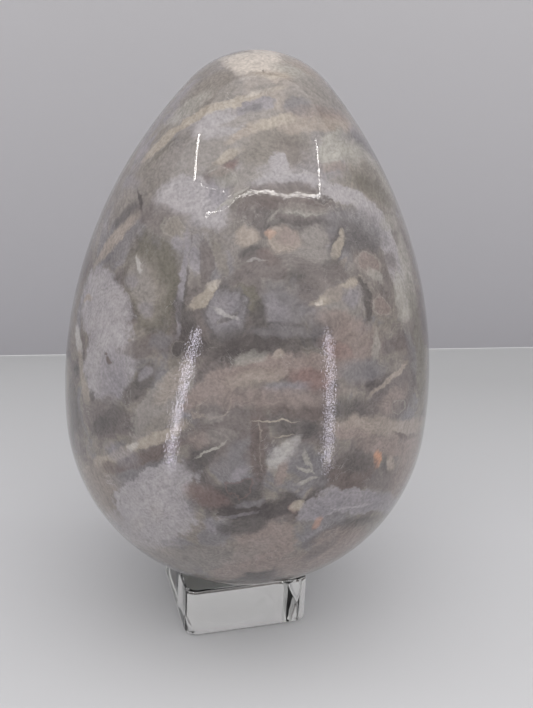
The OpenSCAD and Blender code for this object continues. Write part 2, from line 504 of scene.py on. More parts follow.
# Each figure: name, heading in degrees, height above the blunt end, half length, half width (mm), turn in
# degrees from level, softness, strength and colour, and for a rimmed one also bend, rim colour and rim
# strength. They lie over one another in this order.
FIGURES = [
    ("upper ground", 255.3, 134.9, 16.6, 18.29, -11, 0.5, 0.8, "ash"),
    ("upper warm ground", 278.8, 139.9, 7.8, 14.24, -35, 0.5, 0.7, "sand"),
    ("left shoulder", 216.7, 122.0, 9.3, 7.91, 25, 0.5, 0.8, "ash"),
    ("left outer shoulder", 199.6, 115.8, 9.7, 6.57, 77, 0.5, 0.6, "olive"),
    ("right shoulder", 310.1, 118.0, 5.6, 14.67, -84, 0.4, 0.9, "olive"),
    ("middle shoulder", 263.5, 128.0, 7.7, 5.25, 25, 0.4, 0.9, "olive"),
    ("warm middle shoulder", 272.3, 127.0, 3.7, 3.14, -42, 0.6, 0.35, "umber"),
    ("upper lavender", 230.5, 131.8, 5.5, 3.48, 12, 0.5, 0.85, "lavender"),
    ("upper left olive", 215.3, 138.1, 7.6, 4.56, 32, 0.4, 0.75, "olive"),
    ("upper left pale edge", 201.5, 133.3, 6.4, 2.14, 54, 0.5, 0.7, "pale"),
    ("cap", 248.9, 144.2, 7.6, 5.75, -46, 0.22, 0.95, "cap", -0.5, "sand", 0),
    ("cap right skirt", 301.1, 140.1, 8.3, 3.13, -57, 0.4, 0.8, "pale"),
    ("cap speck", 254.0, 142.9, 0.6, 0.24, 91, 0.4, 0.7, "dark"),
    ("warm block", 262.7, 140.8, 5.5, 3.78, 2, 0.2, 0.95, "sand"),
    ("warm block crest", 264.6, 142.1, 4.8, 1.04, -2, 0.5, 0.7, "cream"),
    ("warm block shade", 265.0, 140.1, 4.4, 0.64, 10, 0.5, 0.7, "olive"),
    ("warm block streak a", 263.6, 139.0, 4.6, 0.71, 9, 0.4, 0.9, "cream"),
    ("warm block streak b", 247.7, 137.3, 3.3, 0.81, 16, 0.4, 0.7, "cream"),
    ("warm block flecks", 252.5, 138.6, 1.2, 0.82, 20, 0.6, 0.7, "cap"),
    ("tip right clouds", 306.4, 137.9, 8.4, 4.62, -8, 0.5, 0.8, "ash"),
    ("long cream streak a", 198.7, 125.6, 6.4, 1.6, 62, 0.35, 0.8, "cream"),
    ("long cream streak b", 212.2, 132.3, 5.7, 1.28, 42, 0.35, 0.9, "cream", -0.6, "dark", 0),
    ("long cream streak c", 237.2, 135.9, 7.2, 1.09, 12, 0.4, 0.9, "cream"),
    ("long cream streak edge", 203.5, 124.4, 5.0, 0.56, 64, 0.5, 0.6, "moss"),
    ("streak dark inlay", 193.1, 127.1, 3.3, 0.82, 61, 0.5, 0.9, "olive"),
    ("lens", 253.2, 135.5, 4.1, 1.95, 19, 0.2, 0.95, "haze", 0, "slate", 0.3),
    ("lens core", 251.9, 135.2, 1.9, 0.94, 20, 0.5, 0.95, "slate"),
    ("right lens", 282.3, 135.6, 3.6, 1.74, 13, 0.3, 0.85, "slate"),
    ("below lens", 251.4, 133.5, 6.7, 1.03, 14, 0.5, 0.9, "ash"),
    ("warm ribbon a", 247.4, 130.4, 4.3, 1.11, 31, 0.4, 0.95, "sand", -0.5, "cream", 0.3),
    ("warm ribbon b", 266.9, 132.7, 5.7, 1.4, 13, 0.35, 0.9, "cream"),
    ("warm ribbon c", 297.3, 132.4, 9.4, 2.1, -4, 0.4, 0.95, "sand"),
    ("warm ribbon inner", 273.0, 131.4, 2.5, 0.75, 6, 0.4, 0.7, "sand"),
    ("warm ribbon flecks", 300.3, 134.1, 7.7, 1.42, -11, 0.5, 0.6, "rose"),
    ("pale window", 297.7, 127.3, 3.7, 6.83, -60, 0.16, 0.95, "pale"),
    ("pale window low shade", 294.2, 123.3, 4.3, 1.01, -8, 0.6, 0.7, "rose"),
    ("pale window seam", 306.0, 124.1, 7.4, 0.47, -121, 0.5, 0.7, "cream"),
    ("right dark slant", 329.3, 125.8, 10.3, 3.03, -27, 0.4, 0.9, "slate"),
    ("right pale blade", 319.4, 119.7, 10.6, 5.68, -55, 0.35, 0.75, "pale"),
    ("right brown blade", 315.0, 117.7, 9.5, 5.54, -37, 0.35, 0.9, "olive"),
    ("right moss foot", 317.0, 115.5, 10.2, 2.52, -30, 0.5, 0.7, "moss"),
    ("triangle peak", 264.5, 123.9, 3.5, 2.34, -88, 0.2, 0.95, "lavender"),
    ("triangle shoulder left", 254.1, 120.7, 5.3, 1.62, 45, 0.3, 0.9, "ash"),
    ("triangle foot", 269.0, 120.3, 9.6, 2.36, 0, 0.18, 0.95, "lavender"),
    ("triangle vein", 267.8, 122.0, 7.6, 0.28, 5, 0.6, 0.3, "white"),
    ("pale arch a", 293.7, 116.9, 8.3, 2.11, -23, 0.25, 0.95, "lavender", 0, "white", 0.15),
    ("pale arch b", 307.4, 110.7, 7.2, 3.27, -46, 0.25, 0.95, "lavender", 0, "white", 0.2),
    ("pale arch c", 312.1, 101.6, 7.6, 3.71, -76, 0.3, 0.85, "lavender", 0, "white", 0.2),
    ("pale arch d", 311.5, 91.2, 7.6, 2.59, -91, 0.4, 0.8, "pale"),
    ("left lavender field", 224.5, 115.8, 8.0, 4.01, 21, 0.3, 0.95, "lavender"),
    ("left lavender foot", 235.9, 114.8, 5.8, 3.86, -33, 0.3, 0.95, "lavender"),
    ("right of pit", 249.8, 121.0, 4.2, 2.14, 28, 0.4, 0.9, "ash"),
    ("pit rock", 239.3, 122.2, 4.4, 2.24, 43, 0.3, 0.8, "umber"),
    # Cream bits on the hollow's rim, partly a painted highlight where the rim catches the light
    ("pit cream lip with painted highlight", 240.8, 125.1, 3.2, 1.25, 38, 0.4, 0.8, "cream"),
    ("pit rust", 240.9, 122.6, 3.1, 0.99, 36, 0.5, 0.7, "rust"),
    ("pit floor", 239.4, 117.7, 2.8, 3.15, 40, 0.4, 0.9, "haze"),
    ("under line crescent", 252.9, 116.7, 4.5, 1.86, 20, 0.3, 0.9, "moss", 0, "dark", 0.35),
    ("under line shade", 269.9, 118.6, 6.0, 1.18, -1, 0.4, 0.9, "olive"),
    ("under line brown", 254.6, 115.1, 4.8, 3.0, 11, 0.4, 0.9, "smoke"),
    ("under line brown core", 261.1, 115.8, 1.8, 2.09, -7, 0.5, 0.6, "umber"),
    ("under line pale core", 254.2, 115.3, 1.0, 1.61, 28, 0.6, 0.6, "ash"),
    ("eye shell", 276.4, 112.9, 12.7, 5.13, -5, 0.2, 0.95, "smoke", -0.4, "dark", 0.5),
    ("eye ring a", 276.6, 113.8, 10.6, 3.96, -3, 0.1, 0.5, "ash", -0.4, "dark", 0.6),
    ("eye ring b", 276.3, 114.2, 8.8, 3.03, -2, 0.12, 0.95, "smoke", -0.3, "pale", 0.45),
    ("eye core", 274.8, 114.6, 6.7, 1.51, -1, 0.2, 0.85, "pale", 0, "dark", 0.4),
    ("eye right slate", 295.5, 109.7, 9.2, 4.57, -18, 0.4, 0.9, "slate"),
    ("eye right dark", 295.0, 106.6, 6.2, 3.55, -47, 0.5, 0.65, "dark"),
    ("between ovals", 269.8, 111.7, 8.2, 1.15, 2, 0.4, 0.6, "dark"),
    ("left oval", 252.2, 109.4, 2.7, 2.16, 5, 0.3, 0.95, "sand"),
    ("middle oval", 265.3, 108.8, 3.8, 2.96, 1, 0.2, 0.95, "sand", 0, "smoke", 0.35),
    ("middle oval core", 266.6, 109.5, 2.3, 1.83, -3, 0.5, 0.9, "rose"),
    ("middle oval amber", 260.9, 109.9, 0.9, 0.9, 27, 0.6, 0.35, "orange"),
    ("right oval", 276.4, 109.1, 3.2, 2.57, -8, 0.25, 0.95, "ash", 0, "smoke", 0.3),
    ("blade edge", 284.1, 106.3, 5.0, 1.62, 45, 0.4, 0.8, "dark"),
    ("blade", 285.3, 106.7, 4.2, 1.06, 48, 0.25, 0.75, "cream"),
    ("small blade", 285.3, 103.0, 2.1, 0.88, 32, 0.3, 0.7, "sand"),
    ("right shoulder patch", 297.8, 102.2, 4.2, 2.74, -28, 0.3, 0.85, "rose", 0, "pale", 0.35),
    ("right shoulder pale", 299.8, 99.1, 2.9, 1.16, -42, 0.5, 0.6, "pale"),
    ("dark pocket", 253.8, 105.8, 3.4, 2.03, -7, 0.3, 0.9, "dark"),
    ("dark pocket rust", 258.8, 105.4, 1.8, 1.35, 9, 0.6, 0.5, "rust"),
    ("brown shelf", 256.7, 101.9, 6.1, 2.48, 7, 0.3, 0.95, "smoke", 0, "umber", 0.3),
    ("brown shelf pale foot", 257.1, 99.5, 5.4, 0.9, 4, 0.5, 0.7, "ash"),
    # Painted highlight: a thin white glint on the shelf
    ("shelf glint", 255.6, 104.1, 2.3, 0.27, 8, 0.5, 0.8, "white"),
    ("grey cloud", 273.5, 104.8, 5.2, 2.5, 5, 0.5, 0.9, "ash"),
    ("dark sweep", 276.0, 101.7, 7.3, 2.05, 12, 0.5, 0.75, "dark"),
    ("slate cloud", 264.2, 94.5, 5.5, 4.1, -44, 0.5, 0.9, "slate"),
    ("slate cloud light", 262.7, 93.2, 4.1, 2.05, -56, 0.6, 0.6, "haze"),
    ("right grey", 284.6, 101.2, 3.4, 1.47, -33, 0.5, 0.8, "smoke"),
    ("left slate", 199.8, 103.5, 8.0, 4.43, 55, 0.4, 0.85, "slate"),
    ("left dark", 200.9, 108.6, 5.0, 2.39, 40, 0.4, 0.7, "dark"),
    ("left dark seam", 204.1, 112.5, 3.5, 0.49, -45, 0.4, 0.75, "seam"),
    ("left pale slant", 198.1, 103.0, 8.9, 1.77, 55, 0.4, 0.85, "sand"),
    ("left inner dark", 217.9, 110.4, 6.3, 2.78, -2, 0.4, 0.8, "smoke"),
    ("curled band", 225.2, 109.5, 3.3, 2.06, -11, 0.3, 0.9, "olive", -0.5, "pale", 0.35),
    ("left pale fleck", 227.3, 107.0, 1.7, 1.57, 10, 0.5, 0.85, "haze"),
    ("teardrop", 220.6, 96.3, 11.5, 7.27, -70, 0.25, 0.9, "moss", 0, "dark", 0.25),
    ("teardrop right", 225.7, 100.3, 7.0, 2.12, -71, 0.4, 0.8, "moss"),
    ("teardrop body", 218.6, 95.3, 7.3, 4.38, -57, 0.4, 0.95, "olive"),
    ("teardrop core", 217.3, 95.8, 5.6, 2.68, -59, 0.6, 0.9, "ash"),
    ("teardrop fleck", 214.1, 100.0, 2.0, 0.46, -59, 0.5, 0.6, "white"),
    ("teardrop low light", 220.3, 90.8, 2.1, 1.63, 13, 0.6, 0.6, "haze"),
    ("vertical blue line", 231.6, 97.8, 11.3, 0.75, -87, 0.4, 0.95, "haze"),
    ("vertical blue line edge", 232.9, 99.0, 9.2, 0.3, -88, 0.5, 0.7, "dark"),
    ("second blue patch", 234.3, 103.7, 3.0, 1.7, -75, 0.35, 0.85, "haze", 0, "pale", 0.3),
    ("dark post", 238.3, 103.4, 4.6, 1.66, -79, 0.4, 0.9, "smoke", 0, "dark", 0.3),
    ("dark post right", 242.9, 104.7, 4.1, 1.38, -70, 0.4, 0.8, "olive"),
    ("dark vertical", 233.3, 90.8, 4.2, 1.25, -67, 0.5, 0.8, "dark"),
    ("nodule halo", 246.2, 94.0, 5.0, 10.06, -41, 0.25, 0.9, "smoke", 0, "dark", 0.35),
    ("nodule dark crescent", 253.2, 96.7, 4.6, 2.03, -40, 0.35, 0.95, "moss", -0.6, "seam", 0.3),
    ("nodule dark right", 257.4, 91.3, 4.2, 1.81, -82, 0.5, 0.8, "dark"),
    ("nodule left dark", 236.3, 90.2, 2.9, 1.22, -68, 0.5, 0.8, "dark"),
    ("nodule body", 246.3, 93.3, 5.3, 6.1, 4, 0.14, 0.95, "slate", 0, "dark", 0.6),
    ("nodule inner", 246.3, 93.1, 3.9, 4.07, 5, 0.5, 0.7, "haze"),
    ("nodule swirl a", 247.3, 92.3, 3.0, 0.68, 27, 0.5, 0.6, "dark", 0, "pale", 0.3),
    ("nodule swirl b", 246.3, 93.3, 3.3, 0.36, -19, 0.6, 0.5, "white"),
    ("nodule cream", 239.5, 96.2, 4.2, 1.2, 52, 0.3, 0.85, "cream", 0.4, "sand", 0.2),
    ("nodule cream top", 242.0, 99.0, 1.5, 0.91, 24, 0.5, 0.5, "cap"),
    ("right nodule shadow", 274.5, 97.1, 3.9, 2.75, -18, 0.5, 0.8, "smoke"),
    ("right nodule body", 284.3, 94.6, 6.2, 5.08, -7, 0.25, 0.95, "ash", 0, "haze", 0.25),
    ("right nodule cream bar", 283.0, 97.4, 7.0, 1.51, 18, 0.25, 0.8, "cream", 0, "dark", 0.2),
    ("right nodule tip", 275.7, 95.5, 0.8, 0.51, 10, 0.5, 0.8, "cap"),
    ("right nodule pale round", 287.2, 95.7, 2.7, 2.31, -12, 0.4, 0.8, "haze"),
    ("right nodule dark hook", 294.2, 94.2, 5.3, 1.42, -87, 0.3, 0.85, "dark", -1.2, "dark", 0),
    ("right outer patch", 299.5, 92.0, 3.5, 2.33, -37, 0.3, 0.8, "rose", 0, "pale", 0.4),
    ("right nodule pink foot", 281.9, 90.7, 5.8, 2.08, -16, 0.5, 0.8, "rose"),
    ("dark middle", 258.4, 87.7, 15.5, 3.42, 8, 0.45, 0.75, "dark"),
    ("dark middle core", 253.3, 86.3, 5.7, 2.05, 12, 0.5, 0.55, "seam"),
    ("slate wisps", 264.0, 89.9, 6.4, 1.14, -1, 0.6, 0.7, "slate"),
    ("lavender field a", 201.4, 87.5, 8.8, 11.17, -101, 0.14, 0.9, "lavender", 0, "haze", 0.3),
    ("lavender field b", 208.8, 74.9, 8.2, 9.92, -49, 0.14, 0.88, "lavender", 0, "haze", 0.3),
    ("lavender field warm", 208.0, 82.4, 4.4, 3.51, -20, 0.6, 0.5, "lavender"),
    ("lavender field blue", 212.4, 72.8, 6.2, 4.68, -94, 0.4, 0.9, "haze"),
    ("field nib", 192.1, 87.2, 2.7, 0.81, 23, 0.4, 0.8, "sand"),
    ("field speck", 210.0, 75.9, 0.9, 0.56, 3, 0.4, 0.95, "umber"),
    ("field speck b", 208.7, 77.1, 0.5, 0.33, 16, 0.4, 0.9, "umber"),
    # Painted highlight: a white glint on the left
    ("left white glint", 190.1, 76.3, 3.6, 1.66, -33, 0.5, 0.85, "white"),
    ("left cream trail", 199.0, 66.4, 8.7, 1.4, -57, 0.6, 0.5, "cream"),
    ("left dark edge", 192.1, 57.8, 6.3, 4.22, -52, 0.5, 0.75, "dark"),
    ("left dark lobe", 206.4, 62.5, 7.1, 2.34, 38, 0.45, 0.9, "smoke"),
    ("left dark lobe b", 211.6, 61.9, 8.0, 2.06, 44, 0.5, 0.8, "dark"),
    ("under teardrop", 223.5, 83.1, 7.7, 2.09, 22, 0.4, 0.85, "smoke"),
    ("under teardrop dark", 223.0, 74.0, 5.8, 2.03, 57, 0.45, 0.8, "dark"),
    ("under teardrop slate", 227.7, 84.6, 3.1, 1.39, 28, 0.5, 0.8, "slate"),
    ("small dark knot", 233.9, 83.9, 2.0, 1.83, 24, 0.4, 0.85, "dark", 0, "pale", 0.25),
    ("diagonal blade", 230.1, 70.1, 12.4, 4.09, 59, 0.14, 0.95, "ash", 0, "pale", 0.2),
    ("diagonal blade warm", 232.9, 75.6, 5.3, 1.89, 56, 0.5, 0.6, "sand"),
    ("diagonal blade low", 231.6, 66.6, 6.1, 1.64, 42, 0.5, 0.6, "olive"),
    ("blade top fleck", 224.3, 77.1, 2.0, 0.97, 47, 0.5, 0.8, "haze"),
    ("cream ridge a", 214.3, 52.5, 9.3, 1.47, 38, 0.4, 0.75, "cream"),
    ("cream ridge b", 228.8, 61.1, 9.4, 1.3, 30, 0.35, 0.75, "cream", 0.5, "dark", 0),
    ("cream ridge fleck", 221.6, 57.9, 2.1, 0.96, 42, 0.6, 0.6, "white"),
    ("brown hollow", 224.7, 54.9, 13.5, 1.82, 33, 0.35, 0.9, "umber"),
    ("brown hollow end", 211.6, 48.8, 2.3, 1.38, 49, 0.4, 0.8, "umber"),
    ("grey comb", 224.3, 49.8, 13.3, 2.51, 31, 0.35, 0.9, "slate"),
    ("left low skin", 204.0, 36.8, 7.1, 10.7, -39, 0.6, 0.55, "sand"),
    ("low lavender a", 226.8, 45.3, 15.6, 5.7, 42, 0.1, 0.92, "lavender", 0, "haze", 0.2),
    ("low lavender b", 228.7, 36.8, 12.3, 6.22, 30, 0.14, 0.8, "lavender"),
    ("low lavender fleck a", 219.6, 32.5, 4.1, 1.54, 50, 0.6, 0.5, "cream"),
    ("low lavender fleck b", 228.9, 40.1, 3.4, 2.13, 61, 0.7, 0.35, "cream"),
    ("low lavender shade", 236.5, 43.3, 4.0, 4.71, -23, 0.5, 0.6, "haze"),
    ("low left lip", 219.6, 23.2, 11.5, 3.96, 4, 0.5, 0.7, "sand"),
    ("warm band a", 244.8, 76.2, 8.3, 3.44, 42, 0.22, 0.92, "rose"),
    ("warm band b", 259.1, 81.7, 8.6, 3.25, 11, 0.2, 0.95, "rose"),
    ("warm band c", 274.1, 80.7, 7.0, 3.47, -16, 0.25, 0.95, "rose"),
    ("warm band pale top", 254.5, 84.1, 3.5, 1.38, 18, 0.5, 0.6, "pale"),
    ("warm band sand", 256.2, 79.2, 6.5, 1.63, 14, 0.6, 0.6, "sand"),
    ("warm band rust", 272.0, 78.8, 4.6, 2.32, -18, 0.5, 0.8, "rust"),
    ("warm band rust b", 281.2, 84.4, 3.9, 2.09, -28, 0.6, 0.55, "rust"),
    ("warm band nub", 263.3, 84.9, 1.4, 0.92, 7, 0.4, 0.8, "sand"),
    ("warm band vein", 259.8, 76.2, 2.6, 0.48, 16, 0.5, 0.6, "dark", 0, "pale", 0.2),
    ("centre ground", 249.8, 65.1, 8.7, 7.64, 49, 0.4, 0.9, "smoke"),
    ("centre loop", 245.6, 72.1, 4.7, 2.57, 32, 0.2, 0.8, "smoke", 0, "sand", 0.5),
    ("centre loop b", 245.5, 69.4, 2.3, 1.18, 27, 0.4, 0.6, "ash"),
    ("centre left dark", 242.2, 58.5, 4.6, 2.6, 50, 0.4, 0.85, "dark"),
    ("centre left pink", 242.0, 63.3, 2.1, 1.65, 46, 0.6, 0.7, "rose"),
    ("centre streak", 245.1, 61.3, 4.4, 0.31, 33, 0.5, 0.9, "pale"),
    ("centre pale", 251.7, 57.8, 5.8, 3.08, 65, 0.5, 0.9, "slate"),
    ("centre pale core", 253.2, 55.3, 3.0, 1.93, 63, 0.5, 0.8, "haze"),
    ("centre haze", 264.5, 76.4, 5.2, 2.15, 8, 0.4, 0.75, "haze"),
    ("centre brown", 268.5, 72.0, 8.9, 2.63, -11, 0.4, 0.9, "umber"),
    ("centre brown post", 258.4, 63.4, 10.6, 1.98, -88, 0.4, 0.9, "umber"),
    ("centre brown dark", 267.6, 67.2, 5.5, 2.43, -16, 0.5, 0.7, "dark"),
    ("centre scratch a", 262.3, 69.2, 4.0, 0.22, 0, 0.5, 0.85, "cream"),
    ("centre scratch b", 264.6, 65.6, 2.1, 0.2, 4, 0.5, 0.7, "cream"),
    ("centre scratch c", 258.9, 62.7, 5.8, 0.2, -87, 0.5, 0.6, "sand"),
    ("crystal patch", 265.3, 61.1, 4.8, 1.91, 53, 0.4, 0.65, "white", 0, "pale", 0.2),
    ("crystal foot", 265.0, 56.1, 2.8, 1.27, 70, 0.5, 0.9, "rose"),
    ("feather ground", 272.6, 57.0, 6.7, 2.84, -59, 0.4, 0.9, "slate"),
    ("feather a", 271.8, 56.1, 2.2, 0.39, -36, 0.5, 0.8, "pale"),
    ("feather b", 272.0, 53.1, 2.8, 0.46, 9, 0.5, 0.7, "pale"),
    ("feather c", 271.9, 58.4, 2.8, 0.38, -66, 0.5, 0.7, "pale"),
    ("right warm field", 286.8, 84.9, 7.1, 5.15, -20, 0.5, 0.85, "rose"),
    ("right warm core", 281.9, 84.6, 3.1, 1.85, -21, 0.6, 0.5, "rust"),
    ("right pale line", 294.8, 83.1, 4.2, 1.02, -96, 0.5, 0.55, "pale"),
    ("right slate", 289.5, 78.1, 6.3, 2.87, -14, 0.5, 0.85, "slate"),
    ("right dark pocket", 284.4, 69.0, 5.7, 3.09, -26, 0.4, 0.75, "dark"),
    ("right dark knot", 294.6, 73.2, 3.5, 1.26, -9, 0.4, 0.85, "seam"),
    ("right blade ground", 301.1, 69.2, 10.6, 5.89, 9, 0.25, 0.9, "smoke", 0, "dark", 0.3),
    ("right blade line", 300.8, 74.1, 8.1, 0.8, 19, 0.4, 0.85, "sand"),
    ("right blade light", 301.1, 68.6, 5.1, 2.41, 12, 0.5, 0.8, "rose"),
    ("right blade ring", 303.6, 66.7, 3.2, 1.71, -15, 0.3, 0.6, "smoke", 0, "pale", 0.4),
    ("cream shelf a", 285.2, 64.3, 6.0, 2.53, -13, 0.3, 0.9, "rose", 0, "sand", 0.3),
    ("cream shelf b", 302.4, 61.1, 19.3, 2.3, -19, 0.35, 0.75, "sand"),
    ("cream shelf dashes", 309.6, 56.6, 7.9, 0.77, -26, 0.4, 0.85, "umber"),
    ("cream shelf low", 303.1, 55.6, 15.4, 2.32, -23, 0.5, 0.9, "rose"),
    ("amber spot", 295.6, 54.6, 2.6, 1.09, -68, 0.5, 0.95, "orange"),
    ("amber spot b", 302.7, 51.2, 2.5, 1.12, -75, 0.5, 0.9, "sand"),
    ("amber spot dark", 300.1, 50.9, 4.7, 0.83, -74, 0.5, 0.6, "dark"),
    ("right dark hollow", 287.5, 52.5, 7.4, 5.06, -13, 0.3, 0.92, "umber"),
    ("right dark hollow core", 287.5, 55.5, 4.8, 2.52, -11, 0.5, 0.7, "dark"),
    ("right low grey", 300.7, 46.6, 7.0, 3.05, -22, 0.5, 0.85, "smoke"),
    ("right skin", 315.7, 43.8, 9.9, 7.84, 115, 0.6, 0.75, "rose"),
    ("right edge pale", 318.9, 93.9, 11.9, 3.2, -99, 0.4, 0.75, "pale"),
    ("right edge moss", 319.5, 77.1, 14.3, 3.66, -87, 0.45, 0.75, "moss"),
    ("right edge slate", 312.1, 77.9, 5.4, 2.09, -76, 0.5, 0.8, "slate"),
    ("right edge brown", 306.8, 79.7, 4.6, 2.23, -42, 0.6, 0.5, "umber"),
    ("swirl ground", 250.7, 49.1, 8.1, 3.31, 16, 0.35, 0.92, "dark"),
    ("swirl rust", 244.9, 48.3, 4.7, 2.31, -20, 0.6, 0.45, "rust"),
    ("swirl bowl", 253.1, 51.2, 3.8, 2.48, 5, 0.2, 0.8, "dark", 0.8, "rust", 0.4),
    ("swirl dark a", 258.8, 45.7, 11.1, 2.36, 6, 0.35, 0.85, "seam"),
    ("swirl dark b", 268.5, 46.4, 4.9, 2.24, -47, 0.45, 0.85, "seam"),
    ("swirl grey wisp", 256.2, 47.7, 3.2, 0.85, 17, 0.5, 0.9, "slate"),
    ("swirl grey wisp b", 251.1, 43.7, 5.1, 0.41, 19, 0.6, 0.5, "haze"),
    ("swirl rust fleck", 268.3, 45.5, 1.0, 1.24, 25, 0.6, 0.6, "rust"),
    ("pale bead", 269.4, 46.2, 1.7, 1.23, 33, 0.4, 0.9, "cream"),
    ("low right lavender a", 276.8, 44.1, 6.0, 3.74, 13, 0.16, 0.95, "haze", 0, "lavender", 0.35),
    ("low right lavender b", 288.6, 43.8, 11.2, 3.69, -24, 0.14, 0.95, "haze", 0, "lavender", 0.3),
    ("low right lavender seam", 288.4, 41.7, 6.5, 0.33, -11, 0.5, 0.8, "lavender"),
    ("low right facets", 305.5, 37.2, 11.0, 2.62, -37, 0.4, 0.85, "haze"),
    ("low right amber", 276.9, 39.6, 1.5, 1.08, 67, 0.6, 0.45, "orange"),
    ("low right dark", 281.0, 34.2, 5.6, 2.57, 15, 0.35, 0.85, "dark"),
    ("low right dark b", 292.9, 34.9, 8.6, 2.36, -19, 0.4, 0.8, "dark"),
    ("low right streaks", 304.8, 28.0, 10.8, 4.17, -20, 0.5, 0.8, "olive"),
    ("low right warm", 290.9, 26.6, 6.5, 11.44, 52, 0.35, 0.9, "rose"),
    ("bottom warm", 260.6, 32.0, 7.8, 10.86, -6, 0.16, 0.95, "rose", 0, "sand", 0.15),
    ("bottom warm left", 251.8, 23.2, 9.4, 3.68, 69, 0.3, 0.9, "rose"),
    ("bottom warm right", 281.0, 21.0, 13.2, 6.14, -39, 0.3, 0.85, "rose"),
    ("bottom olive", 297.1, 15.1, 9.0, 4.54, 11, 0.5, 0.8, "olive"),
    ("bottom dark slant", 281.3, 28.7, 5.3, 2.05, 45, 0.5, 0.8, "smoke"),
    ("bottom blue", 246.5, 37.1, 6.0, 2.92, 60, 0.25, 0.95, "slate", 0, "haze", 0.3),
    ("bottom blue crest", 245.7, 39.6, 1.5, 2.22, 2, 0.5, 0.8, "haze"),
    ("bottom slate dark", 254.5, 40.8, 5.3, 2.49, 28, 0.4, 0.9, "dark"),
    ("bottom left dark", 240.2, 27.0, 6.7, 3.56, 35, 0.45, 0.75, "dark"),
    ("bottom left lines", 230.5, 22.0, 7.1, 2.64, -13, 0.5, 0.8, "smoke"),
    ("low left field", 219.2, 29.7, 17.5, 6.49, 39, 0.5, 0.75, "lavender"),
    ("low left field edge", 233.2, 45.3, 5.0, 2.66, 12, 0.5, 0.7, "lavender"),
    ("bottom left haze", 236.5, 24.6, 16.3, 4.32, 25, 0.6, 0.7, "ash"),
    ("warm band crown", 260.2, 74.8, 14.4, 1.9, 1, 0.6, 0.8, "rose"),
    ("right nodule shade", 275.8, 101.7, 4.9, 1.89, -34, 0.6, 0.7, "smoke"),
    ("middle shade", 260.8, 104.4, 6.4, 1.58, -4, 0.6, 0.6, "smoke"),
    ("triangle top", 264.8, 124.4, 2.2, 1.86, -100, 0.4, 0.6, "lavender"),
    ("triangle middle", 265.4, 122.2, 4.4, 1.68, -2, 0.4, 0.6, "lavender"),
    ("arch shade", 266.6, 119.2, 8.3, 1.41, 1, 0.4, 0.85, "smoke"),
    ("under the arch", 267.4, 116.0, 9.9, 1.86, -2, 0.5, 0.7, "umber"),
    ("arch edge", 245.5, 116.3, 4.8, 0.28, 39, 0.4, 0.7, "pale"),
    ("arch edge right", 280.8, 121.0, 4.2, 0.32, -35, 0.4, 0.6, "lavender"),
    ("tip shade", 250.2, 140.4, 4.2, 2.37, -17, 0.6, 0.6, "ash"),
    ("low left foot", 211.5, 15.4, 9.7, 2.06, -14, 0.6, 0.7, "haze"),
    ("amber shade", 260.5, 104.6, 2.1, 1.35, 7, 0.5, 0.6, "umber"),
    ("right nodule shade b", 280.2, 98.3, 3.6, 1.75, -54, 0.6, 0.6, "smoke"),
    ("right slope shade", 308.8, 101.2, 2.9, 1.68, -9, 0.6, 0.6, "smoke"),
    ("right edge shade", 313.6, 84.9, 3.1, 1.48, -3, 0.6, 0.6, "smoke"),
    ("centre shade", 258.8, 61.7, 4.1, 1.99, 45, 0.6, 0.6, "umber"),
    ("low middle shade", 268.1, 42.2, 1.5, 1.99, 22, 0.6, 0.5, "umber"),
    ("centre lift", 248.2, 65.2, 3.3, 1.98, 12, 0.6, 0.45, "ash"),
    ("left lift", 217.5, 54.1, 4.6, 2.47, 3, 0.6, 0.55, "haze"),
    ("right band lift", 316.7, 108.6, 3.6, 1.46, -7, 0.6, 0.6, "pale"),
    ("left slope lift", 212.9, 96.2, 1.9, 1.36, 0, 0.6, 0.6, "haze"),
    ("upper right lift", 307.9, 125.5, 3.9, 2.97, -146, 0.6, 0.6, "pale"),
    # Painted highlight: a pale patch round the hollow, where its rim catches the light
    ("hollow painted highlight", 240.3, 120.8, 3.0, 1.84, -24, 0.6, 0.6, "pale"),
    ("upper left lift", 191.0, 115.6, 3.6, 1.69, 4, 0.6, 0.6, "haze"),
]


def figure_frame(outline, foot, heading, height, turn):
    """A figure's middle on the egg's skin, and its axes along it, across it and out of the stone."""
    r, z = outline
    row = int(np.argmin(np.abs(z - height * MM)))
    slope_r, slope_z = (line[row + 1] - line[row - 1] for line in outline)
    flat = np.hypot(slope_r, slope_z)
    around = np.radians(heading)
    radial = Vector((np.cos(around), np.sin(around), 0))
    level = Vector((-np.sin(around), np.cos(around), 0))
    up = (radial * float(slope_r / flat) + Vector((0, 0, float(slope_z / flat)))).normalized()
    out = level.cross(up)
    tilt = np.radians(turn)
    along = level * float(np.cos(tilt)) + up * float(np.sin(tilt))
    across = out.cross(along)
    middle = radial * float(r[row]) + Vector((0, 0, float(z[row]) + foot))
    return middle / MM, along, across, out


def colour_ramp(tree, share, stops):
    """A colour that runs through the stops, each a place and a colour."""
    ramp = add(tree, "ShaderNodeValToRGB", {"Fac": share})
    ends = ramp.color_ramp.elements
    ends[0].position, ends[0].color = stops[0][0], solid(stops[0][1])
    ends[1].position, ends[1].color = stops[-1][0], solid(stops[-1][1])
    for where, shade in stops[1:-1]:
        ends.new(where).color = solid(shade)
    return ramp, "Color"


